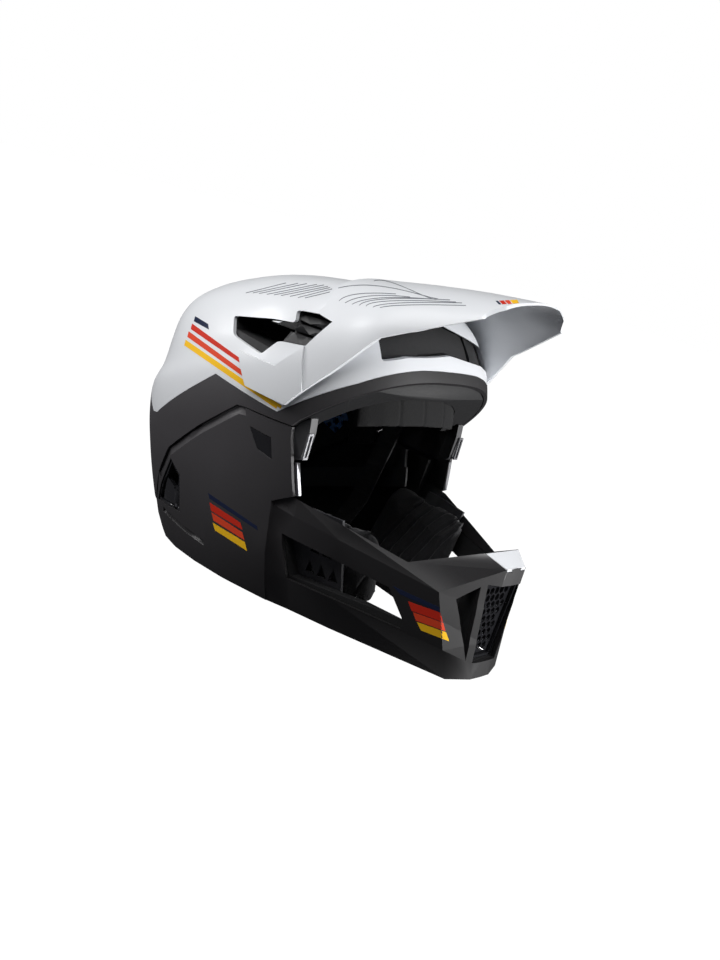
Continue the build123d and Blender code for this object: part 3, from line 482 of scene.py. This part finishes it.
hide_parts("visor")
gone(visor_back, visor_zone, visor_plan, behind_join, ahead_join, visor_inner, peak_inner,
     white_zone, white_below, base_zone, shell_inner, side_cut, front_cut, slot_cut, *rear_cuts)


# Foam liner and chin foam: black expanded bead foam, moulded in one piece each with its ducts
# and seats. The liner is bonded into the shells, the chin foam into the chin bar.
def node_copy(name, node, body, material, angle=30):
    """A merged and smooth-shaded twin of a model piece, in its own finish."""
    piece = bpy.data.objects.new(name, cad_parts[node].data.copy())
    bpy.context.scene.collection.objects.link(piece)
    smoothed(piece, angle)
    painted(piece, material)
    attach(piece, body)
    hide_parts(node)
    return piece


foam_finish = finish_of("bead_foam", (0.008, 0.008, 0.009), 0.7, speck=0.2, grain=350, bump=0.35)
node_copy("foam_liner", "eps_liner", "helmet", foam_finish)
node_copy("chin_foam", "chin_liner", "chin_bar", foam_finish)


# Insect net: a fine black mesh, bonded into the foam behind the brow vent. Behind its holes
# nothing is seen but the dark of the foam, so it is drawn as one thin closed sheet.
net_depth, net_thick = 5.0, 0.5
net_outline = shares([
    (-0.297, 0.9055), (-0.297, 0.8435), (0.0, 0.8595), (0.297, 0.8435), (0.297, 0.9055),
    (0.0, 0.9335)], dome_half_width)
net_cut = prism("net_cut", net_outline, "front", 0, wide_reach)
net_inner = dome("net_inner", net_depth + net_thick)
net = carve(dome("brow_net", net_depth), ("INTERSECT", net_cut), ("DIFFERENCE", net_inner))
net_finish = finish_of("brow_net", (0.012, 0.012, 0.013), 0.8, speck=0.6, grain=1600, bump=0.8)
smoothed(net)
painted(net, net_finish)
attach(net, "helmet")
gone(net_cut, net_inner)


# Chin bar: a black moulding of two side panels and two arms that meet in front, with windows
# and the grille's opening. Its panels carry on the shell's round form.
form_reach, form_likeness = 0.9, 0.93


def dome_shaded(piece, dome_piece):
    """Gives the faces that lie on the helmet's form that form's own smooth shading."""
    bm = bmesh.new()
    bm.from_mesh(dome_piece.data)
    tree = BVHTree.FromBMesh(bm)
    bm.free()
    mesh = piece.data
    turned = [Vector(corner.vector) for corner in mesh.corner_normals]
    for face in mesh.polygons:
        for loop in face.loop_indices:
            place = mesh.vertices[mesh.loops[loop].vertex_index].co
            _, normal, _, far = tree.find_nearest(place)
            if far < form_reach * MM and normal.dot(face.normal) > form_likeness:
                turned[loop] = normal
    mesh.normals_split_custom_set(turned)


panel_crease = 22
# The chin bar takes the black paint with its painted shade, darker downwards and to the front.
chin_bar = node_copy("black_chin_bar", "chin_bar_shell", "chin_bar", black_with_painted_shade,
                     panel_crease)
dome_shaded(chin_bar, outer_form)
gone(outer_form)


# Small pieces: rails, cradle, dial, buckle, brackets, latches, grille and trims, moulded in
# plastic or bent from steel, and clipped or pinned to the body that each one rides on.
grey_plastic = finish_of("grey_moulding", (0.045, 0.045, 0.048), 0.45, bump=0.05)
carrier_grey = finish_of("carrier_grey", (0.035, 0.035, 0.04), 0.5, bump=0.05)
dark_plastic = finish_of("black_moulding", (0.018, 0.018, 0.019), 0.5, bump=0.08)
gloss_black = finish_of("gloss_black", (0.012, 0.012, 0.014), 0.18, bump=0.0, coat=0.5)
steel = finish_of("pin_steel", (0.5, 0.5, 0.52), 0.3, metal=1.0)
gel = finish_of("blue_gel", (0.01, 0.20, 0.60), 0.35, bump=0.05, coat=0.3)
for node, body, material in (
        ("turbine_discs", "helmet", gel), ("cradle", "cradle", dark_plastic),
        ("cradle_anchors", "helmet", dark_plastic), ("height_rails", "helmet", dark_plastic),
        ("dial_housing", "cradle", dark_plastic), ("retention_dial", "dial", dark_plastic),
        ("visor_pivots", "helmet", dark_plastic), ("visor_rail_left", "helmet", dark_plastic),
        ("visor_rail_right", "helmet", dark_plastic), ("strap_anchors", "helmet", dark_plastic),
        ("buckle_socket", "helmet", dark_plastic), ("buckle_tongue", "buckle", dark_plastic),
        ("chin_cap", "chin_bar", white_paint), ("grille_frame", "chin_bar", gloss_black),
        ("mouth_grille", "chin_bar", gloss_black),
        ("temple_bracket_left", "chin_bar", grey_plastic),
        ("temple_bracket_right", "chin_bar", grey_plastic),
        ("bracket_clips", "chin_bar", steel), ("badge_plates", "chin_bar", gloss_black),
        ("port_trims", "chin_bar", steel), ("cheek_carrier_left", "chin_bar", carrier_grey),
        ("cheek_carrier_right", "chin_bar", carrier_grey),
        ("latch_pan_left", "chin_bar", gloss_black),
        ("latch_pan_right", "chin_bar", gloss_black),
        ("latch_lever_left", "latch_left", gloss_black),
        ("latch_lever_right", "latch_right", gloss_black), ("latch_pins", "chin_bar", steel)):
    node_copy(node + "_piece", node, body, material)


# Pads: soft foam in a brushed knit, sewn round its rim and through in channels, and held by
# hooks. Each swells like a stuffed cover inside the space of its own solid.
thick_inset, thin_inset = 0.0022, 0.001
fine_below = 0.0015
coarse_voxel, fine_voxel = 0.004, 0.0025
stuffing_pressure, stuffing_frames = 4, 20
longest_swell, quick_swell = 1.6, 0.7
channel_width = 0.0011
cover_clearance = 0.00015


def seam_depth(place, channels):
    """How far a sewn channel pulls the cover in: most on its line, nothing away from it."""
    deep = 0.0
    for across, offset, depth in channels:
        far = place.dot(across) - offset
        deep = max(deep, depth * exp(-(far / channel_width) ** 2))
    return deep


def stuffed(name, node, body, material, inset, channels):
    """Remeshes a pad, swells it as cloth under pressure, keeps it in its space and sews it."""
    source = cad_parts[node].data
    space = bmesh.new()
    space.from_mesh(source)
    tree = BVHTree.FromBMesh(space)
    space.free()
    pad = bpy.data.objects.new(name, source.copy())
    bpy.context.scene.collection.objects.link(pad)
    smoothed(pad)
    voxel = pad.modifiers.new("even", "REMESH")
    voxel.mode = "VOXEL"
    voxel.voxel_size = coarse_voxel if inset > fine_below else fine_voxel
    ease = pad.modifiers.new("ease", "SMOOTH")
    ease.iterations = 3
    carve(pad)
    cover = pad.data
    normals = [vert.normal.copy() for vert in cover.vertices]
    for vert, normal in zip(cover.vertices, normals):
        vert.co -= normal * inset
    before = [vert.co.copy() for vert in cover.vertices]
    cloth = pad.modifiers.new("stuffing", "CLOTH")
    cloth.settings.use_pressure = True
    cloth.settings.uniform_pressure_force = stuffing_pressure
    cloth.settings.effector_weights.gravity = 0
    for step in range(stuffing_frames):
        bpy.context.scene.frame_set(step + 1)
    swollen = pad.evaluated_get(bpy.context.evaluated_depsgraph_get())
    after = [vert.co.copy() for vert in swollen.data.vertices]
    pad.modifiers.remove(cloth)
    bpy.context.scene.frame_set(1)
    for vert, start, end in zip(cover.vertices, before, after):
        move = end - start
        if move.length > inset * longest_swell:
            move *= inset * longest_swell / move.length
        vert.co = start + move
    finer = pad.modifiers.new("finer", "SUBSURF")
    finer.levels = finer.render_levels = 2 if inset > fine_below else 1
    carve(pad)
    cover = pad.data
    pulls = [vert.normal * seam_depth(vert.co, channels) for vert in cover.vertices]
    for vert, pull in zip(cover.vertices, pulls):
        place = vert.co.copy()
        spot, normal, _, _ = tree.find_nearest(place)
        if (place - spot).dot(normal) > -cover_clearance:
            place = spot - normal * cover_clearance
        vert.co = place - pull
    cover.shade_smooth()
    painted(pad, material)
    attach(pad, body)
    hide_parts(node)


knit = finish_of("brushed_knit", (0.012, 0.012, 0.014), 0.9, speck=0.4, grain=900, bump=0.8,
                 sheen=0.2)
# The brow pad's knit is painted far darker than the other pads' knit, with no sheen: painted shade
# for the dark inside of the eye port.
painted_shade_knit = finish_of("painted_shade_knit", (0.004, 0.004, 0.0045), 0.95, speck=0.4, grain=900, bump=0.8)
cheek_slant, across_brow = Vector((0, 0.94, 0.34)), Vector((1, 0, 0))
cheek_channels = [(cheek_slant, offset * MM, 1.6 * MM) for offset in (-66, -54, -42, -30, -18, -6)]
brow_channels = [(across_brow, offset * MM, 0.9 * MM) for offset in (-28, 0, 28)]
for side in ("left", "right"):
    stuffed(f"cheek_pad_{side}_cloth", f"cheek_pad_{side}", "chin_bar", knit, thick_inset,
            cheek_channels)
stuffed("crown_pads_cloth", "crown_pads", "helmet", knit, thin_inset, ())
stuffed("brow_pad_cloth", "brow_pad", "helmet", painted_shade_knit, thin_inset, brow_channels)
stuffed("side_pads_cloth", "side_pads", "helmet", knit, thin_inset, ())


# Straps: flat woven nylon webbing from the anchors to the buckle, one over each side of the
# neck. The right one carries the tongue and gives way as the tongue slides out.
webbing = finish_of("webbing", (0.012, 0.012, 0.013), 0.75, speck=0.3, grain=1400, bump=0.4)
rib_scale, rib_waver = 260, 0.6
n, links = webbing.node_tree.nodes, webbing.node_tree.links
ribs = n.new("ShaderNodeTexWave")
ribs.bands_direction = "X"
ribs.inputs["Scale"].default_value = rib_scale
ribs.inputs["Distortion"].default_value = rib_waver
links.new(n["Texture Coordinate"].outputs["Object"], ribs.inputs["Vector"])
links.new(ribs.outputs["Fac"], n["Bump"].inputs["Height"])
for node in ("strap_left", "strap_right"):
    strap = bpy.data.objects.new(node + "_webbing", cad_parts[node].data.copy())
    bpy.context.scene.collection.objects.link(strap)
    smoothed(strap)
    painted(strap, webbing)
    if node == "strap_left":
        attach(strap, "helmet")
    else:
        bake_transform(strap)
    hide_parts(node)


# Stripes and fine lines: thin printed films on the white shell, the peak and the chin bar,
# alike on both sides. Their corners and points are places in the picture, in pixels.
def along_line(points, share_of_way):
    """The place a share of the way along the smooth curve through a row of picture points."""
    where = share_of_way * (len(points) - 1)
    place = Vector((0, 0))
    for i, point in enumerate(points):
        weight = 1.0
        for j in range(len(points)):
            if j != i:
                weight *= (where - j) / (i - j)
        place += Vector(point) * weight
    return place


film_lift = 0.12
film_thick = 0.00008
film_longest_face = 0.02


def film(name, target, body, bands, colour, pieces=28):
    """Lays bands on a piece, where the camera's rays through their two edges meet it."""
    seen = bmesh.new()
    seen.from_mesh(target.data)
    tree = BVHTree.FromBMesh(seen)
    seen.free()
    lens_px = camera.data.lens / camera.data.sensor_width * picture_high
    whole = bmesh.new()
    for top_edge, low_edge in bands:
        rows = []
        for k in range(pieces + 1):
            row = []
            for t in (0, 0.5, 1):
                px = along_line(top_edge, k / pieces).lerp(along_line(low_edge, k / pieces), t)
                ray = (-eye_back * lens_px + eye_right * (px.x - picture_wide / 2)
                       - eye_up * (px.y - picture_high / 2)).normalized()
                place, normal, _, _ = tree.ray_cast(eye_place, ray)
                row.append(whole.verts.new(place + normal * film_lift * MM)
                           if place is not None and place.x < 0 else None)
            rows.append(row)
        for near_row, far_row in zip(rows, rows[1:]):
            for t in (0, 1):
                corners = (near_row[t], far_row[t], far_row[t + 1], near_row[t + 1])
                if None in corners:
                    continue
                longest = max((a.co - b.co).length for a in corners for b in corners)
                if longest < film_longest_face:
                    whole.faces.new(corners)
    bmesh.ops.delete(whole, geom=[v for v in whole.verts if not v.link_faces], context="VERTS")
    bmesh.ops.mirror(whole, geom=whole.verts[:] + whole.edges[:] + whole.faces[:], axis="X",
                     merge_dist=0)
    bmesh.ops.solidify(whole, geom=whole.faces[:], thickness=-film_thick)
    bmesh.ops.recalc_face_normals(whole, faces=whole.faces)
    piece = mesh_object(name, whole)
    painted(piece, colour)
    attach(piece, body)


def stripe_set(name, target, body, corner_sets):
    """Four plain stripes side by side, each from its four corners in the picture."""
    for part, (a, b, c, d) in enumerate(corner_sets):
        film(f"{name}_{part + 1}", target, body, [((a, b), (d, c))], colours[part])


def line_set(name, target, body, rows, colour, half=0.33, pieces=36):
    """A group of fine lines in one film, each along its row of points in the picture."""
    bands = [([(x, y - half) for x, y in row], [(x, y + half) for x, y in row]) for row in rows]
    film(name, target, body, bands, colour, pieces)


navy = finish_of("film_navy", (0.014, 0.02, 0.05), 0.3)
red = finish_of("film_red", (0.56, 0.026, 0.012), 0.6)
orange = finish_of("film_orange", (0.68, 0.060, 0.022), 0.6)
yellow = finish_of("film_yellow", (0.88, 0.50, 0.015), 0.6)
graphite = finish_of("film_graphite", (0.16, 0.17, 0.19), 0.4)
colours = (navy, red, orange, yellow)
film_specular = 0.15
for colour in colours:
    film_skin = colour.node_tree.nodes["Principled BSDF"]
    film_skin.inputs["Specular IOR Level"].default_value = film_specular
shell_stripe_corners = (
    ((195.3, 316.2), (208.2, 324.0), (209.0, 329.6), (193.9, 321.2)),
    ((192.2, 323.5), (241.6, 359.4), (243.8, 365.6), (190.8, 329.1)),
    ((188.8, 331.3), (244.9, 372.3), (246.9, 379.3), (187.4, 336.9)),
    ((185.7, 339.7), (282.0, 406.0), (279.5, 411.0), (184.3, 345.4)))
panel_stripe_corners = (
    ((208.1, 492.9), (257.1, 526.1), (257.6, 530.2), (209.6, 498.5)),
    ((209.6, 502.3), (240.3, 522.6), (242.6, 529.9), (211.2, 510.8)),
    ((211.6, 512.3), (242.2, 532.2), (244.7, 540.3), (213.5, 520.4)),
    ((212.7, 522.6), (244.9, 542.1), (247.1, 551.0), (215.0, 530.2)))
chin_stripe_corners = (
    ((392.8, 585.9), (439.1, 607.1), (440.5, 612.7), (400.2, 594.2)),
    ((408.0, 601.2), (440.5, 612.7), (442.8, 621.9), (411.7, 610.8)),
    ((412.8, 612.0), (443.3, 622.9), (445.5, 631.2), (415.9, 620.5)),
    ((416.9, 621.9), (446.1, 632.3), (449.2, 641.4), (420.9, 630.3)))
peak_mark_corners = (
    ((495.5, 301.0), (498.0, 300.9), (501.5, 304.4), (499.0, 304.5)),
    ((499.0, 300.8), (503.5, 300.5), (507.0, 304.1), (502.5, 304.3)),
    ((504.5, 300.5), (509.0, 300.2), (512.0, 303.8), (508.0, 304.0)),
    ((510.0, 300.2), (517.0, 299.8), (519.0, 303.2), (513.0, 303.7)))
shell_line_points = (
    ((246, 293), (286, 283)), ((253, 293), (298, 283.4)), ((259, 293.6), (307, 283.6)),
    ((267, 294.4), (317, 284.4)), ((274, 295), (324, 285)), ((281, 295.6), (328, 286.4)),
    ((290, 296.4), (330, 287.6)), ((298, 297.6), (332, 289)), ((305, 298), (330, 292)))
peak_line_points = (
    ((335, 289), (374, 285.6), (410, 292), (438, 299)), ((339, 301), (358, 294), (396, 294)),
    ((345, 303), (370, 296), (410, 297)), ((352, 304.4), (380, 298), (430, 299)),
    ((359, 305.6), (386, 299), (450, 300)), ((366, 306.4), (390, 301), (456, 302)),
    ((373, 307.2), (400, 303), (462, 303)), ((380, 307.6), (410, 305), (466, 305.6)),
    ((374, 281), (396, 284), (422, 295), (438, 299)))
stripe_set("shell_stripe", upper_shell, "helmet", shell_stripe_corners)
stripe_set("panel_stripe", chin_bar, "chin_bar", panel_stripe_corners)
stripe_set("chin_stripe", chin_bar, "chin_bar", chin_stripe_corners)
line_set("shell_lines", upper_shell, "helmet", shell_line_points, graphite)
line_set("peak_lines", visor, "visor", peak_line_points, graphite)
stripe_set("peak_mark", visor, "visor", peak_mark_corners)
